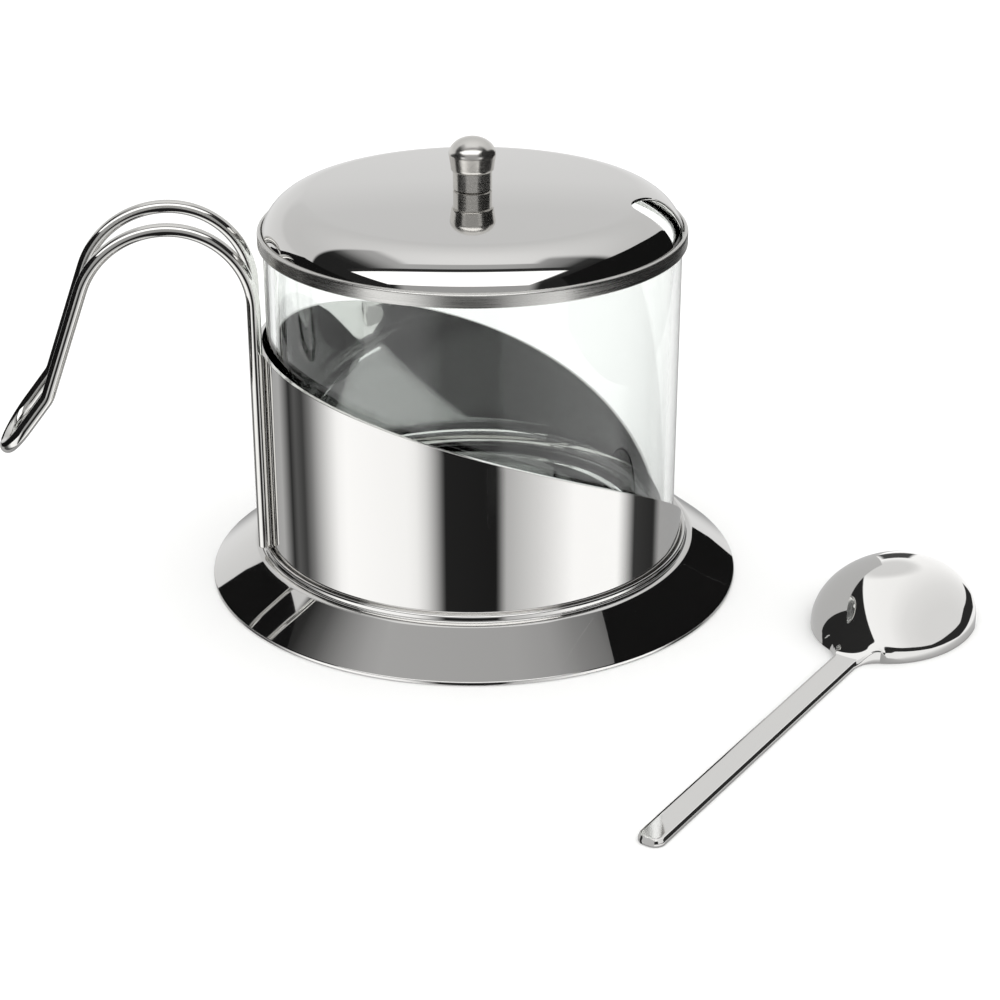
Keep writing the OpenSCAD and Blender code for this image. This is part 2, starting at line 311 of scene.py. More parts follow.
MIRROR_STEEL = polished_steel("mirror_polished_stainless", "#DEDDDB", 0.02, 0.05)
WIRE_STEEL = polished_steel("polished_stainless_wire", "#DCDBD8", 0.05, 0.09, smear_mm=6.0)
TURNED_STEEL = brushed_steel("turned_polished_stainless", "#DAD8D4", 0.16, 0.26, 0.25, 0.02, 0.004)
BRUSHED_STEEL = brushed_steel("brushed_stainless", "#D2D1CE", 0.2, 0.34, 0.2, 0.015, 0.01)
PLAIN_STEEL = brushed_steel("plain_stainless", "#BDBCB9", 0.28, 0.4, 0.5, 0.3, 0.01)
GLASS = clear_glass("clear_soda_lime_glass")


# ---- Holder ------------------------------------------------------------------------------------
def make_foot():
    """The spun foot: sloping skirt, deck under the glass and bead round the sleeve."""
    rise = DECK_Z - FOOT_EDGE
    sheet_w = FOOT_SHEET * math.hypot(SKIRT_W, rise) / rise
    under_z = DECK_Z - FOOT_SHEET
    under_r = FOOT_R - sheet_w - (under_z - FOOT_EDGE) * SKIRT_W / rise
    bead_r = BEAD_IN_R + BEAD_W
    points = [(0, under_z), (under_r, under_z), (FOOT_R - sheet_w, FOOT_EDGE),
              (FOOT_R - sheet_w / 2, FOOT_EDGE), (FOOT_R - sheet_w / 2, 0), (FOOT_R, 0),
              (FOOT_R, FOOT_EDGE), (FOOT_R - SKIRT_W, DECK_Z), (bead_r, DECK_Z),
              (bead_r, BEAD_TOP_Z), (BEAD_IN_R, BEAD_TOP_Z), (BEAD_IN_R, DECK_Z), (0, DECK_Z)]
    radii = [0, 1.5, 0.3, 0.1, 0.15, 0.3, 0.35, 2.0, 0.35, 0.5, 0.5, 0.1, 0]
    return spun(eased(points, radii, steps=8, closed=False), closed=False)


def make_base_plate():
    """The flat plate under the foot, with a shallow pressed ring."""
    edge_r = corner("base_plate", 1)[0]
    ring_r = edge_r - PLATE_RING
    points = [(0, 0), (ring_r, 0), (ring_r + 0.6, PLATE_DENT), (ring_r + 3.4, PLATE_DENT),
              (ring_r + 4, 0),
              (edge_r, 0), (edge_r, FOOT_EDGE), (0, FOOT_EDGE)]
    radii = [0, 0.4, 0.4, 0.4, 0.4, 0.2, 0.1, 0]
    return spun(eased(points, radii, steps=4, closed=False), closed=False)


def sleeve_edge_z(turn):
    """Height of the sleeve's top edge at a turn away from the handle, in radians."""
    return max(BEAD_TOP_Z + SLEEVE_RING, SLEEVE_HIGH - SLEEVE_FALL * (turn / math.pi) ** 2)


def make_sleeve():
    """A tube whose top edge falls along one curve from the handle to the other side."""
    rows = 24
    inner_r = SLEEVE_R - SLEEVE_SHEET
    bm = bmesh.new()
    outside = [(SLEEVE_R, i / rows) for i in range(rows + 1)]
    inside = [(inner_r, i / rows) for i in range(rows, -1, -1)]
    verts = [bm.verts.new((-r * MM, 0, share)) for r, share in outside + inside]
    for a, b in zip(verts, verts[1:] + verts[:1]):
        bm.edges.new((a, b))
    bmesh.ops.spin(bm, geom=bm.verts[:] + bm.edges[:], cent=(0, 0, 0), axis=(0, 0, 1),
                   angle=FULL_TURN, steps=SPIN_STEPS * 5 // 4, use_merge=True)
    rim = [e for e in bm.edges if e.calc_length() < FULL_TURN * SLEEVE_R * MM / SPIN_STEPS
           and all(v.co.z > 1 - 1e-6 for v in e.verts)
           and abs(e.verts[0].co.to_2d().length - e.verts[1].co.to_2d().length) < MM * 0.1]
    for vert in bm.verts:
        turn = abs(math.atan2(vert.co.y, -vert.co.x))
        vert.co.z = (DECK_Z + vert.co.z * (sleeve_edge_z(turn) - DECK_Z)) * MM
    soften(bm, rim, 0.22)
    return bm


def make_handle():
    """One wire bent double: two strands side by side, joined by a round bend at the tip."""
    bm = bmesh.new()
    for side in (-1, 1):
        start = Matrix.Translation(Vector((-WIRE_X, side * WIRE_OFF, WIRE_Z)) * MM)
        bmesh.ops.create_circle(bm, cap_ends=False, radius=WIRE_R * MM, segments=28, matrix=start)
    ends = {"edges": bm.edges[:], "place": Vector((-WIRE_X, 0, WIRE_Z)), "turn": 0.0}
    foot_edges = bm.edges[:]

    def heading():
        """The direction in which the strands run on."""
        return Vector((-math.sin(ends["turn"]), 0, math.cos(ends["turn"])))

    def run(length):
        """Draws both strands straight on."""
        grown = bmesh.ops.extrude_edge_only(bm, edges=ends["edges"])["geom"]
        moved = [g for g in grown if isinstance(g, bmesh.types.BMVert)]
        bmesh.ops.translate(bm, verts=moved, vec=heading() * length * MM)
        ends["edges"] = [g for g in grown if isinstance(g, bmesh.types.BMEdge)]
        ends["place"] = ends["place"] + heading() * length

    def bend(radius, degrees):
        """Bends both strands: outwards for a positive turn, inwards for a negative one."""
        way = 1 if degrees > 0 else -1
        side = Vector((-math.cos(ends["turn"]), 0, -math.sin(ends["turn"]))) * way
        centre = ends["place"] + side * radius
        angle = math.radians(degrees)
        steps = max(4, round(abs(degrees) / 2.5))
        grown = bmesh.ops.spin(bm, geom=ends["edges"], cent=centre * MM, axis=(0, -1, 0),
                               angle=angle, steps=steps, use_merge=False)["geom_last"]
        ends["edges"] = [g for g in grown if isinstance(g, bmesh.types.BMEdge)]
        ends["place"] = centre + Matrix.Rotation(angle, 3, (0, -1, 0)) @ (-side * radius)
        ends["turn"] += angle

    top, out, tip = zip(WIRE_BEND_RS, WIRE_BEND_DEGREES)
    run(WIRE_RISE)
    bend(*top)
    bend(*out)
    run(WIRE_FALL)
    bend(*tip)
    run(WIRE_TIP)
    one_side = [e for e in ends["edges"] if e.verts[0].co.y < 0]
    bmesh.ops.spin(bm, geom=one_side, cent=ends["place"] * MM,
                   axis=heading().cross(Vector((0, 1, 0))), angle=math.pi, steps=40,
                   use_merge=False)
    bmesh.ops.remove_doubles(bm, verts=bm.verts[:], dist=MM * 0.01)
    bmesh.ops.holes_fill(bm, edges=[e for e in foot_edges if e.is_valid], sides=0)
    bmesh.ops.recalc_face_normals(bm, faces=bm.faces[:])
    rims = [e for e in bm.edges if e.calc_face_angle(0) > 1]
    soften(bm, rims, 0.3)
    return bm


# ---- Glass -------------------------------------------------------------------------------------
def make_glass():
    """The beaker: a straight wall, a thick bottom with round corners and a round lip."""
    lip = GLASS_WALL / 2
    inner = GLASS_R - GLASS_WALL
    points = [(0, DECK_Z + GLASS_PUNT), (GLASS_R - 9, DECK_Z + GLASS_PUNT), (GLASS_R - 7, DECK_Z),
              (GLASS_R, DECK_Z), (GLASS_R, GLASS_TOP_Z), (inner, GLASS_TOP_Z),
              (inner, DECK_Z + GLASS_FLOOR), (0, DECK_Z + GLASS_FLOOR)]
    radii = [0, 1.0, 1.5, 2.0, lip * 0.98, lip * 0.98, GLASS_CORNER, 0]
    return spun(eased(points, radii, steps=10, closed=False), closed=False)


# ---- Lid ---------------------------------------------------------------------------------------
def cut_away(bm, planes):
    """Removes what lies inside all the planes (point, outward normal), with clean edges."""
    inside = bm.faces[:]
    for point, normal in planes:
        edges = list({e for f in inside for e in f.edges})
        verts = list({v for f in inside for v in f.verts})
        cut = bmesh.ops.bisect_plane(bm, geom=inside + edges + verts, plane_co=point,
                                     plane_no=normal, dist=MM * 0.0005)
        faces = {g for g in cut["geom"] if isinstance(g, bmesh.types.BMFace)}
        inside = [f for f in faces if (f.calc_center_median() - point).dot(normal) < 0]
    bmesh.ops.delete(bm, geom=inside, context="FACES")


def make_lid_shell():
    """The pressed cap: a nearly flat top, a round shoulder and a slot for the spoon's handle."""
    shoulder_z = LID_Z + LID_RISE - SHOULDER_R
    shoulder_x = SHELL_EDGE_R - math.sqrt(SHOULDER_R ** 2 - (LID_Z - shoulder_z) ** 2)
    lean = math.degrees(math.asin(shoulder_x / (DOME_R - SHOULDER_R)))
    edge = math.degrees(math.asin((LID_Z - shoulder_z) / SHOULDER_R))
    dome_z = LID_TOP_Z - DOME_R
    top = arc(0, dome_z, DOME_R, 90, 90 - lean, 24)[:-1]
    shoulder = arc(shoulder_x, shoulder_z, SHOULDER_R, 90 - lean, edge, 36)
    bm = spun(top + shoulder, closed=False, steps=SPIN_STEPS)
    bmesh.ops.reverse_faces(bm, faces=[f for f in bm.faces if f.normal.z < 0])
    along = Vector((math.cos(NOTCH_TURN), math.sin(NOTCH_TURN), 0))
    across = Vector((-along.y, along.x, 0))
    half = NOTCH_W / 2
    planes = [(across * half * MM, across), (-across * half * MM, -across)]
    middle = along * (NOTCH_IN + half) * MM
    steps = 28
    for i in range(steps + 1):
        turn = QUARTER + math.pi * i / steps
        normal = along * math.cos(turn) + across * math.sin(turn)
        planes.append((middle + normal * half * MM, normal))
    cut_away(bm, planes)
    centre_hole = [v for v in bm.verts if v.co.to_2d().length < MM * LID_HOLE_R]
    bmesh.ops.delete(bm, geom=centre_hole, context="VERTS")
    bmesh.ops.solidify(bm, geom=bm.faces[:], thickness=LID_SHEET * MM)
    bmesh.ops.recalc_face_normals(bm, faces=bm.faces[:])
    rims = [e for e in bm.edges
            if e.calc_face_angle(0) > 0.9 and e.verts[0].co.to_2d().length > 4 * MM]
    soften(bm, rims, 0.14, 2)
    return bm


def make_lid_band():
    """The brushed ring round the lid's lower edge."""
    inner = BAND_R - BAND_W
    points = [(inner, BAND_LOW_Z), (BAND_R, BAND_LOW_Z), (BAND_R, BAND_TOP_Z), (inner, BAND_TOP_Z)]
    return spun(eased(points, [0.1, 0.2, 0.65, 0.1], steps=6))


def make_knob():
    """The turned knob: a straight waist, a small step and a flared head with a domed top."""
    waist, head_low = WAIST_R, HEAD_LOW_R
    head_z = KNOB_Z + 4.2
    cap_z = head_z + 3.2
    cap_h = KNOB_TOP_Z - cap_z
    points = [(HOLE_R, KNOB_Z), (waist - 0.25, KNOB_Z), (waist, KNOB_Z + 0.25),
              (waist, head_z - 0.3), (head_low - 0.1, head_z - 0.05), (head_low, head_z + 0.1),
              (head_low + 0.03, head_z + 0.5), (KNOB_R - 0.05, cap_z - 0.2)]
    for i in range(25):
        turn = QUARTER * i / 24
        points.append((KNOB_R * math.cos(turn), cap_z + cap_h * math.sin(turn)))
    points += [(0, KNOB_Z + 6.1), (HOLE_R, KNOB_Z + 6.0)]
    return spun(points, steps=96)


def make_screw():
    """The screw under the lid: a low head with a round edge, and a shank with ridges."""
    head_h = WASHER_Z - SCREW_Z
    top = corner("knob_screw", 1)[2]
    points = [(0, SCREW_Z)]
    points += arc(SCREW_HEAD_R - SCREW_ROUND, SCREW_Z + SCREW_ROUND, SCREW_ROUND, -90, 0, 6)
    points += [(SCREW_HEAD_R, SCREW_Z + head_h), (SCREW_R, SCREW_Z + head_h)]
    pitch = (top - WASHER_TOP_Z - 1.6) / SCREW_TURNS
    for i in range(SCREW_TURNS):
        low = WASHER_TOP_Z + 1.2 + i * pitch
        points += [(SCREW_R - 0.25, low), (SCREW_R, low + pitch / 2)]
    points += [(SCREW_R - 0.3, top), (0, top)]
    return spun(points, closed=False, steps=64)


def make_washer():
    """The flat washer between the lid and the screw's head."""
    points = [(HOLE_R, WASHER_Z), (WASHER_R, WASHER_Z), (WASHER_R, WASHER_TOP_Z),
              (HOLE_R, WASHER_TOP_Z)]
    return spun(eased(points, [0.1, 0.15, 0.15, 0.1], steps=3), steps=96)


# ---- Spoon -------------------------------------------------------------------------------------
def spoon_place():
    """Carries the spoon from its own axes, with its handle's end at the origin, to the table."""
    shift = Matrix.Translation(Vector((SPOON_X, SPOON_Y, 0)) * MM)
    return shift @ Matrix.Rotation(SPOON_TURN, 4, "Z")


def spoon_side():
    """One side of the spoon's outline, as (x, half width), from the handle's end to the bowl's tip:
    a round corner, the straight handle, the hollow neck and the oval of the bowl."""
    half, end_r = SPOON_HANDLE_W / 2, SPOON_END_R
    centre = SPOON_HANDLE_LEN + BOWL_HALF_LEN

    def oval(turn):
        """A point of the oval and the way out from it, for a turn from the handle's side."""
        way = unit(-math.cos(turn) / BOWL_HALF_LEN, math.sin(turn) / BOWL_HALF_W)
        return (centre - BOWL_HALF_LEN * math.cos(turn), BOWL_HALF_W * math.sin(turn)), way

    low, high = 0.0, QUARTER
    for _ in range(40):
        meet = (low + high) / 2
        point, way = oval(meet)
        if point[1] + NECK_R * way[1] < half + NECK_R:
            low = meet
        else:
            high = meet
    neck_x = point[0] + NECK_R * way[0]
    end_turns = [QUARTER * i / 10 for i in range(11)]
    side = [(end_r * (1 - math.cos(turn)), half - end_r * (1 - math.sin(turn)))
            for turn in end_turns]
    side += [(end_r + (neck_x - end_r) * i / 24, half) for i in range(1, 24)]
    side += arc(neck_x, half + NECK_R, NECK_R, -90, math.degrees(math.atan2(-way[1], -way[0])), 56)
    side += [oval(meet + (math.pi - meet) * i / 108)[0] for i in range(1, 108)]
    return side + [(centre + BOWL_HALF_LEN, 0)]


def spoon_top_z(x, y, width):
    """Height of the spoon's upper face: a bevelled plate, a dome and a soft hollow between."""
    half, end_r = SPOON_HANDLE_W / 2, SPOON_END_R
    inset = width - abs(y)
    if x < end_r:
        corner_y = abs(y) - (half - end_r)
        inset = end_r - math.hypot(end_r - x, corner_y) if corner_y > 0 else min(x, inset)
    plate = SPOON_EDGE
    for (near, low), (far, high) in zip(SPOON_BEVEL, SPOON_BEVEL[1:]):
        if near <= inset < far:
            plate = low + (high - low) * (inset - near) / (far - near)
    along = (x - SPOON_HANDLE_LEN - BOWL_HALF_LEN) / BOWL_HALF_LEN
    reach = math.hypot(along, y / BOWL_HALF_W)
    rise = SPOON_EDGE + BOWL_RISE - SPOON_WALL
    toward_neck = eased_step((-along / max(reach, 1e-6) - 0.9) / 0.07)
    steepest = 1 - 0.05 * toward_neck
    dome = SPOON_WALL + rise * math.sqrt(max(1 - min(reach, steepest) ** 2, 0))
    dome -= max(reach - steepest, 0) * rise * 3.0
    handle_side = 1 - eased_step((x - SPOON_HANDLE_LEN - 0.5) / 5.5)
    plate = plate * handle_side
    soft = NECK_SOFT * handle_side + 0.01
    near = max(soft - abs(plate - dome), 0) / soft
    return max(plate, dome, 0) + near * near * soft / 4


def eased_step(share):
    """From 0 to 1 with soft ends, for a share from 0 to 1."""
    share = max(0, min(1, share))
    return share * share * (3 - 2 * share)


def make_spoon():
    """The spoon, back up, in one skin: a bevelled handle whose neck runs into the round bowl."""
    bm = bmesh.new()
    rows = []
    for x, width in spoon_side():
        edge = min(0.9, 0.4 * width)
        places = [width - edge * share for share in EDGE_SHARES]
        places += [(width - edge) * i / 30 for i in range(29, 0, -1)]
        places = places + [0] + [-place for place in reversed(places)]
        rows.append([bm.verts.new((x * MM, y * MM, spoon_top_z(x, y, width) * MM))
                     for y in places])
    for before, after in zip(rows[:-1], rows[1:]):
        for i in range(len(before) - 1):
            bm.faces.new((before[i], before[i + 1], after[i + 1], after[i]))
    bmesh.ops.remove_doubles(bm, verts=bm.verts[:], dist=MM * 0.0005)
    bmesh.ops.dissolve_degenerate(bm, edges=bm.edges[:], dist=MM * 0.0005)
    wall = bmesh.ops.extrude_edge_only(bm, edges=[e for e in bm.edges if e.is_boundary])["geom"]
    for vert in [g for g in wall if isinstance(g, bmesh.types.BMVert)]:
        vert.co.z = 0
    outer = [g for g in wall if isinstance(g, bmesh.types.BMEdge) and g.is_boundary]
    segments, layers = 144, 30
    place = Matrix.Translation(Vector((SPOON_HANDLE_LEN + BOWL_HALF_LEN, 0, 0)) * MM)
    half_len, half_w = BOWL_HALF_LEN - BOWL_SHEET, BOWL_HALF_W - BOWL_SHEET
    ring = bmesh.ops.create_circle(bm, cap_ends=False, radius=MM, segments=segments,
                                   matrix=Matrix())["verts"]
    unit_ring = [vert.co.copy() for vert in ring]
    inner = list({e for vert in ring for e in vert.link_edges})
    loops = [ring]
    for i in range(1, layers):
        loops.append([bm.verts.new((0, 0, 0)) for _ in ring])
        for j in range(segments):
            k = (j + 1) % segments
            bm.faces.new((loops[i - 1][j], loops[i][j], loops[i][k], loops[i - 1][k]))
    hollow_top = SPOON_EDGE + BOWL_RISE - BOWL_SHEET
    for i, loop in enumerate(loops):
        turn = QUARTER * i / layers
        for vert, flat in zip(loop, unit_ring):
            vert.co = place @ Vector((flat.x * half_len * math.cos(turn),
                                      flat.y * half_w * math.cos(turn),
                                      hollow_top * math.sin(turn) * MM))
    tip = bm.verts.new(place @ Vector((0, 0, hollow_top * MM)))
    for j in range(segments):
        bm.faces.new((loops[-1][j], tip, loops[-1][(j + 1) % segments]))
    bmesh.ops.triangle_fill(bm, use_beauty=True, use_dissolve=False, edges=outer + inner)
    bmesh.ops.recalc_face_normals(bm, faces=bm.faces[:])
    bmesh.ops.transform(bm, matrix=spoon_place(), verts=bm.verts[:])
    return bm


# ---- The pieces --------------------------------------------------------------------------------
piece(make_foot(), "spun_foot", "holder", MIRROR_STEEL, "polished_steel", "foot")
piece(make_base_plate(), "foot_base_plate", "holder", PLAIN_STEEL, "polished_steel", "base_plate")
piece(make_sleeve(), "cut_away_sleeve", "holder", MIRROR_STEEL, "polished_steel", "sleeve")
piece(make_handle(), "wire_handle", "holder", WIRE_STEEL, "polished_steel", "handle")
glass = piece(make_glass(), "glass_beaker", "glass", GLASS, "clear_glass", "glass_insert")
piece(make_lid_shell(), "lid_cap", "lid", MIRROR_STEEL, "polished_steel", "lid_shell")
piece(make_lid_band(), "lid_rim_band", "lid", BRUSHED_STEEL, "brushed_band", "lid_band")
piece(make_knob(), "turned_knob", "knob_and_screw", TURNED_STEEL, "polished_steel", "knob")
piece(make_screw(), "lid_screw", "knob_and_screw", PLAIN_STEEL, "plain_steel", "knob_screw")
piece(make_washer(), "lid_washer", "knob_and_screw", PLAIN_STEEL, "plain_steel", "washer")
spoon = piece(make_spoon(), "table_spoon", "spoon", MIRROR_STEEL, "polished_steel", "spoon")
# Kept out of the steel's reflections, and off the table's shadows
spoon.visible_glossy = False
glass.visible_shadow = False


# ---- Studio ------------------------------------------------------------------------------------
def make_floor():
    """A plain pale table top."""
    bm = bmesh.new()
    bmesh.ops.create_grid(bm, x_segments=1, y_segments=1, size=6.0)
    mesh = bpy.data.meshes.new("studio_floor")
    bm.to_mesh(mesh)
    bm.free()
    material, tree, output = new_material("matt_white_table")
    shader = add_node(tree, "ShaderNodeBsdfPrincipled", inputs={
        "Base Color": linear("#F8F8F7"), "Roughness": 0.9, "Specular IOR Level": 0.1})
    tree.links.new(shader.outputs["BSDF"], output.inputs["Surface"])
    mesh.materials.append(material)
    floor = bpy.data.objects.new("studio_floor", mesh)
    bpy.context.scene.collection.objects.link(floor)
    floor.location.z = -0.0001
    floor.visible_glossy = False


class Levels:
    """Grey levels worked out by the nodes of one tree."""

    def __init__(self, tree):
        self.tree = tree

    def calc(self, operation, *values):
        """The result of one sum on levels or numbers."""
        inputs = dict(enumerate(values))
        return add_node(self.tree, "ShaderNodeMath", {"operation": operation}, inputs).outputs[0]

    def above(self, value, edge, soft):
        """0 below an edge and 1 above it, with a soft step between."""
        step = {"interpolation_type": "SMOOTHSTEP", "clamp": True}
        return add_node(self.tree, "ShaderNodeMapRange", step, {
            "Value": value, "From Min": edge - soft / 2,
            "From Max": edge + soft / 2}).outputs["Result"]

    def below(self, value, edge, soft):
        """1 below an edge and 0 above it."""
        return self.calc("SUBTRACT", 1.0, self.above(value, edge, soft))

    def both(self, *masks):
        """1 where all the masks are 1."""
        total = masks[0]
        for mask in masks[1:]:
            total = self.calc("MULTIPLY", total, mask)
        return total

    def blend(self, mask, under, over):
        """One level where the mask is 0, and another over it where it's 1."""
        return self.calc("ADD", self.calc("MULTIPLY", self.calc("SUBTRACT", 1.0, mask), under),
                         self.calc("MULTIPLY", mask, over))

    def ramp(self, value, stops):
        """Grey levels along a value: each stop is a place from 0 to 1 and its level."""
        new = add_node(self.tree, "ShaderNodeValToRGB", inputs={"Fac": value})
        while len(new.color_ramp.elements) < len(stops):
            new.color_ramp.elements.new(0.5)
        for element, (place, level) in zip(new.color_ramp.elements, stops):
            element.position = place
            element.color = (level, level, level, 1)
        return new.outputs["Color"]

    def side_of(self, parts, right, front, up):
        """How far a direction lies on one side of a plane through the middle."""
        total = self.calc("MULTIPLY", parts[0], right)
        total = self.calc("MULTIPLY_ADD", front, parts[1], total)
        return self.calc("MULTIPLY_ADD", up, parts[2], total)


def spoon_studio(lv, direction):
    """The studio as the spoon mirrors it: white at the right and overhead, grey behind at the left,
    black in front at the left and along the horizon."""
    split = add_node(lv.tree, "ShaderNodeSeparateXYZ", inputs={"Vector": direction})
    right, up = split.outputs["X"], split.outputs["Z"]
    front = lv.calc("MULTIPLY", split.outputs["Y"], -1.0)
    bearing = lv.calc("DIVIDE", lv.calc("ARCTAN2", right, front), math.pi)
    round_about = lv.calc("MULTIPLY_ADD", bearing, 0.5, 0.5)
    height = lv.calc("MULTIPLY_ADD", up, 0.5, 0.5)
    from_box = lv.side_of((1.0, 0.2, 0.37), right, front, up)
    from_grey = lv.side_of((1.0, 0.72, 1.3), right, front, up)
    from_back = lv.side_of((-0.469, 0.883, 0.0), right, front, up)
    # Grey wall behind at the left
    light = lv.ramp(height, [(0.3, 0.5), (0.55, 0.62), (1.0, 0.66)])
    # Black card in front at the left, and its strip that shows beside the soft box
    low_front = lv.both(lv.above(from_back, 0.0, 0.06), lv.below(up, 0.67, 0.03))
    black = lv.calc("MAXIMUM", low_front, lv.above(from_grey, 0.0, 0.03))
    light = lv.blend(black, light, BLACK)
    # White at the right and overhead, weaker away from its edge, with a shaded panel at the back
    white = lv.ramp(from_box, [(0.0, 1.22), (0.45, 1.16), (0.75, 0.98), (1.0, 0.9)])
    panel = lv.above(lv.side_of((0.218, -0.835, 0.505), right, front, up), 0.972, 0.035)
    light = lv.blend(lv.above(from_box, 0.0, 0.02), light, lv.blend(panel, white, 0.85))
    # Dark horizon from the front round to the right, and the table below it
    high_edge = lv.ramp(round_about, [
        (0.40, 0.60), (0.483, 0.66), (0.66, 0.48), (0.75, 0.50), (0.81, 0.54), (0.88, 0.49)])
    low_edge = lv.ramp(round_about, [
        (0.40, 0.54), (0.483, 0.56), (0.66, 0.405), (0.77, 0.35), (0.82, 0.39), (0.88, 0.40)])
    under_high = lv.above(lv.calc("SUBTRACT", high_edge, height), 0.0, 0.01)
    over_low = lv.above(lv.calc("SUBTRACT", height, low_edge), 0.0, 0.01)
    horizon = lv.both(under_high, over_low, lv.above(bearing, -0.5, 0.02),
                      lv.below(bearing, 0.765, 0.01))
    light = lv.blend(horizon, light, 0.03)
    table = lv.ramp(height, [(0.27, 0.42), (0.31, 0.62), (0.34, 1.1)])
    below_all = lv.both(lv.calc("SUBTRACT", 1.0, over_low), lv.above(bearing, -0.5, 0.02),
                        lv.below(bearing, 0.8, 0.02))
    light = lv.blend(below_all, light, table)
    # A dark card behind
    patch = lv.both(lv.above(bearing, 0.882, 0.01), lv.below(bearing, 0.934, 0.01),
                    lv.below(up, 0.21, 0.02), lv.above(up, -0.05, 0.03))
    return lv.blend(patch, light, 0.08)


def make_studio_world():
    """White all round, and for what the steel mirrors a studio: a grey ceiling and back wall, a
    large soft box over the front, dark wings at the sides and a white table with dark gaps."""
    world = bpy.data.worlds.new("studio")
    bpy.context.scene.world = world
    world.use_nodes = True
    tree = world.node_tree
    tree.nodes.clear()
    lv = Levels(tree)
    direction = add_node(tree, "ShaderNodeTexCoord").outputs["Generated"]
    turned = add_node(tree, "ShaderNodeMapping", {"vector_type": "POINT"}, {
        "Vector": direction, "Rotation": (0, 0, STUDIO_TURN)})
    split = add_node(tree, "ShaderNodeSeparateXYZ", inputs={"Vector": turned.outputs["Vector"]})
    right, back, up = split.outputs["X"], split.outputs["Y"], split.outputs["Z"]
    front = lv.calc("MULTIPLY", back, -1.0)
    flat_up = lv.calc("MAXIMUM", up, 0.02)
    over_right = lv.calc("DIVIDE", right, flat_up)
    over_front = lv.calc("DIVIDE", front, flat_up)
    bearing = lv.calc("DIVIDE", lv.calc("ARCTAN2", right, front), math.pi)

    # Ceiling and back wall, with a darker strip over the bowl that fades at its ends
    light = lv.ramp(up, [(0.0, 0.85), (0.26, 0.79), (0.32, 0.70), (0.5, 0.69), (0.64, 0.72),
                         (0.85, 0.82), (1.0, 0.95)])
    strip = lv.ramp(lv.calc("MULTIPLY_ADD", over_right, 1 / 2.4, 0.5), [
        (0.0, 0.02), (0.088, 0.03), (0.15, 0.12), (0.213, 0.30), (0.27, 0.44), (0.31, 0.49),
        (0.583, 0.46), (0.663, 0.40), (0.721, 0.29), (0.779, 0.22), (0.854, 0.04), (1.0, 0.02)])
    middle = lv.above(over_front, 0.12, 0.04)
    left_end = lv.both(lv.above(over_front, -0.42, 0.1), lv.below(over_right, -0.42, 0.12))
    right_end = lv.both(lv.above(over_front, -0.12, 0.2), lv.above(over_right, 0.38, 0.1))
    whole = lv.calc("MAXIMUM", middle, lv.calc("MAXIMUM", left_end, right_end))
    light = lv.blend(lv.both(whole, lv.above(up, 0.1, 0.1)), light, strip)
    # Front, under the soft box
    under_box = lv.both(lv.above(front, 0.45, 0.2), lv.below(up, 0.53, 0.03),
                        lv.above(right, -0.6, 0.1), lv.below(right, 0.5, 0.1))
    light = lv.blend(under_box, light, 0.42)
    # Dark gap between the ceiling and the soft box
    dark_gap = lv.both(lv.above(over_front, 0.32, 0.04), lv.below(over_front, 0.45, 0.03),
                       lv.above(over_right, -1.6, 0.1), lv.below(over_right, 0.95, 0.1))
    light = lv.blend(dark_gap, light, 0.03)
    soft_box = lv.both(lv.above(over_front, 0.47, 0.03), lv.below(over_front, 1.53, 0.04),
                       lv.above(over_right, -1.65, 0.08), lv.below(over_right, 0.92, 0.08))
    light = lv.blend(soft_box, light, 1.7)
    # What lies below the horizon: the white table, with dark gaps in front and at the sides
    table = lv.ramp(lv.calc("MULTIPLY_ADD", bearing, 0.5, 0.5), [
        (0.0, 0.35), (0.083, 0.40), (0.144, 0.50), (0.175, 0.03), (0.19, 0.12), (0.21, 0.06),
        (0.229, 0.25), (0.248, 0.6), (0.267, 0.94), (0.284, 1.23), (0.3, 1.32), (0.398, 1.23),
        (0.413, 1.15), (0.428, 0.88), (0.443, 0.44), (0.456, 0.02), (0.533, 0.015), (0.547, 0.58),
        (0.6, 0.9), (0.653, 1.3), (0.733, 1.3), (0.769, 0.05), (0.819, 0.03), (0.839, 0.45),
        (0.944, 0.40), (1.0, 0.35)])
    light = lv.blend(lv.below(up, -0.2, 0.25), light, table)

    light = lv.blend(at_spoon(lv), light, spoon_studio(lv, direction))
    # Glossy rays that haven't gone through the glass mirror the studio, and all others see white
    path = add_node(tree, "ShaderNodeLightPath")
    through = lv.calc("SUBTRACT", 1.0, path.outputs["Is Transmission Ray"])
    mirrored = add_node(tree, "ShaderNodeBackground", inputs={"Color": light, "Strength": 1.0})
    plain = add_node(tree, "ShaderNodeBackground", inputs={"Color": (1, 1, 1, 1), "Strength": 1.3})
    mix = add_node(tree, "ShaderNodeMixShader", inputs={
        0: lv.both(path.outputs["Is Glossy Ray"], through), 1: plain.outputs[0],
        2: mirrored.outputs[0]})
    add_node(tree, "ShaderNodeOutputWorld", inputs={"Surface": mix.outputs[0]})


def stage_only_mirrored(name, mesh):
    """Puts a mesh on the stage so that only reflections see it."""
    card = bpy.data.objects.new(name, mesh)
    bpy.context.scene.collection.objects.link(card)
    card.visible_camera = card.visible_diffuse = card.visible_transmission = False
    card.visible_shadow = card.visible_volume_scatter = False


def at_spoon(lv):
    """1 for a ray that comes from the spoon: it has passed the gate round the spoon once, and each
    screen twice, so its count of clear sheets is odd."""
    gates = add_node(lv.tree, "ShaderNodeLightPath").outputs["Transparent Depth"]
    return lv.above(lv.calc("MODULO", gates, 2.0), 0.5, 0.1)


def from_behind(lv):
    """1 for a ray that meets a sheet's back."""
    return add_node(lv.tree, "ShaderNodeNewGeometry").outputs["Backfacing"]


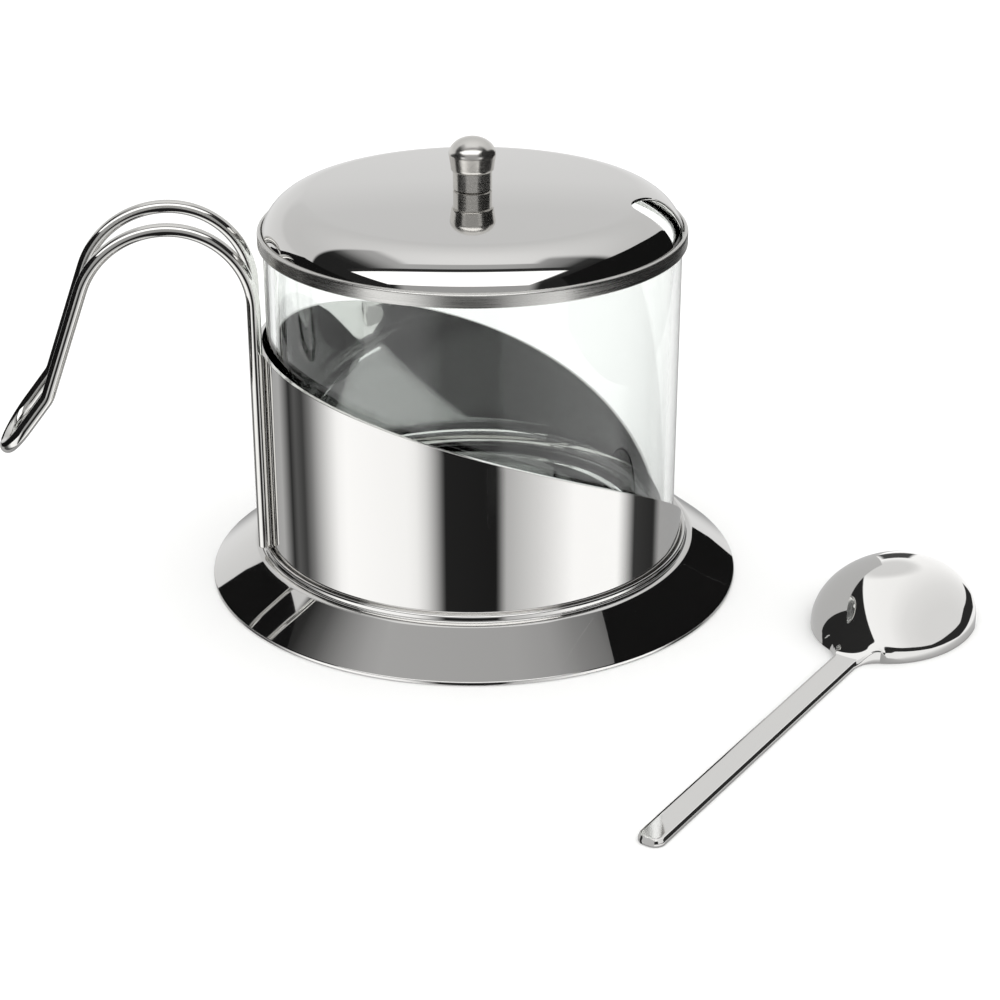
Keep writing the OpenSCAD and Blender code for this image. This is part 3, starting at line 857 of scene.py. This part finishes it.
def make_screen(name, corners, behind, level, hidden):
    """A flat card of one grey level, which only reflections see and which is clear to the rays
    that hidden picks, with a clear film behind it. Corners and the film's shift are in
    millimetres."""
    bm = bmesh.new()
    for slot, shift in enumerate((Vector((0, 0, 0)), behind)):
        sheet = bm.faces.new([bm.verts.new((point + shift) * MM) for point in corners])
        sheet.material_index = slot
    mesh = bpy.data.meshes.new(name)
    bm.to_mesh(mesh)
    bm.free()
    material, tree, output = new_material(name + "_card")
    card = add_node(tree, "ShaderNodeEmission", inputs={"Strength": level})
    clear = add_node(tree, "ShaderNodeBsdfTransparent")
    mix = add_node(tree, "ShaderNodeMixShader", inputs={
        0: hidden(Levels(tree)), 1: card.outputs["Emission"], 2: clear.outputs[0]})
    tree.links.new(mix.outputs[0], output.inputs["Surface"])
    mesh.materials.append(material)
    mesh.materials.append(clear_film())
    stage_only_mirrored(name, mesh)


def clear_film():
    """A material that lets every ray straight through and only counts it."""
    material, tree, output = new_material("clear_film")
    clear = add_node(tree, "ShaderNodeBsdfTransparent")
    tree.links.new(clear.outputs[0], output.inputs["Surface"])
    return material


def make_flag(name, side, outline):
    """A black flag beside the bowl, for the bowl only: an upright sheet at a place along X, with
    an outline of (y, z) points, all in millimetres."""
    turned_back = Matrix.Rotation(-STUDIO_TURN, 3, "Z")
    corners = [turned_back @ Vector((side, y, z)) for y, z in outline]
    behind = turned_back @ Vector((math.copysign(FILM_GAP, side), 0, 0))
    make_screen(name, corners, behind, FLAG_BLACK, at_spoon)


def make_spoon_card(name, start, end, heights, level, hidden):
    """An upright card beside the spoon, between two (x, y) places in the spoon's own axes, in
    millimetres. Its face is on the left of the way from start to end."""
    place = spoon_place()
    low, high = heights
    corners = [place @ (Vector((*spot, z)) * MM) / MM
               for spot, z in ((end, low), (start, low), (start, high), (end, high))]
    way = Vector((end[0] - start[0], end[1] - start[1], 0)).normalized()
    behind = place.to_3x3() @ Vector((way.y, -way.x, 0)) * FILM_GAP
    make_screen(name, corners, behind, level, hidden)


def make_spoon_gate():
    """A clear box round the spoon, which only reflections pass. The world counts it, and so knows
    the light that reaches the spoon from the light that reaches the bowl."""
    bm = bmesh.new()
    size = Matrix.Diagonal((SPOON_HANDLE_LEN * 2 + 8, 60, 300, 1))
    middle = Matrix.Translation(Vector((SPOON_HANDLE_LEN - 20, 0, 120)) * MM)
    bmesh.ops.create_cube(bm, size=MM, matrix=spoon_place() @ middle @ size)
    mesh = bpy.data.meshes.new("spoon_gate")
    bm.to_mesh(mesh)
    bm.free()
    mesh.materials.append(clear_film())
    stage_only_mirrored("spoon_gate", mesh)


def make_camera():
    """The camera, in front of the bowl and a little to its left, looking down at it."""
    data = bpy.data.cameras.new("camera")
    data.sensor_width = 36
    data.lens = CAMERA_LENS
    data.clip_start = 0.01
    camera = bpy.data.objects.new("camera", data)
    bpy.context.scene.collection.objects.link(camera)
    camera.location = Vector(CAMERA_PLACE) * MM
    camera.rotation_euler = (QUARTER - CAMERA_TILT, 0, CAMERA_TURN)
    bpy.context.scene.camera = camera


make_floor()
make_studio_world()
make_spoon_gate()
make_spoon_card("spoon_black_card", (86, CARD_ROW), (40, CARD_ROW), CARD_HEIGHTS, BLACK,
                from_behind)
make_spoon_card("spoon_grey_card", (150, CARD_ROW), (86, CARD_ROW), CARD_HEIGHTS, 0.58,
                from_behind)
make_spoon_card("spoon_end_card", (-12, 14), (-12, -8), (-5, 12), 0.6, at_spoon)
make_flag("left_flag", -FLAG_X, [(-120, 0), (124, 0), (124, 56), (114, 72), (95, 80), (70, 94),
                                 (47, 110), (26, 122), (12, 130), (-20, 130), (-120, 120)])
make_flag("right_flag", FLAG_X, [(-160, 0), (245, 0), (238, 70), (193, 95), (117, 150), (57, 178),
                                 (0, 195), (-30, 203), (-60, 206), (-160, 210)])
make_camera()
bpy.context.scene.view_settings.view_transform = "Standard"
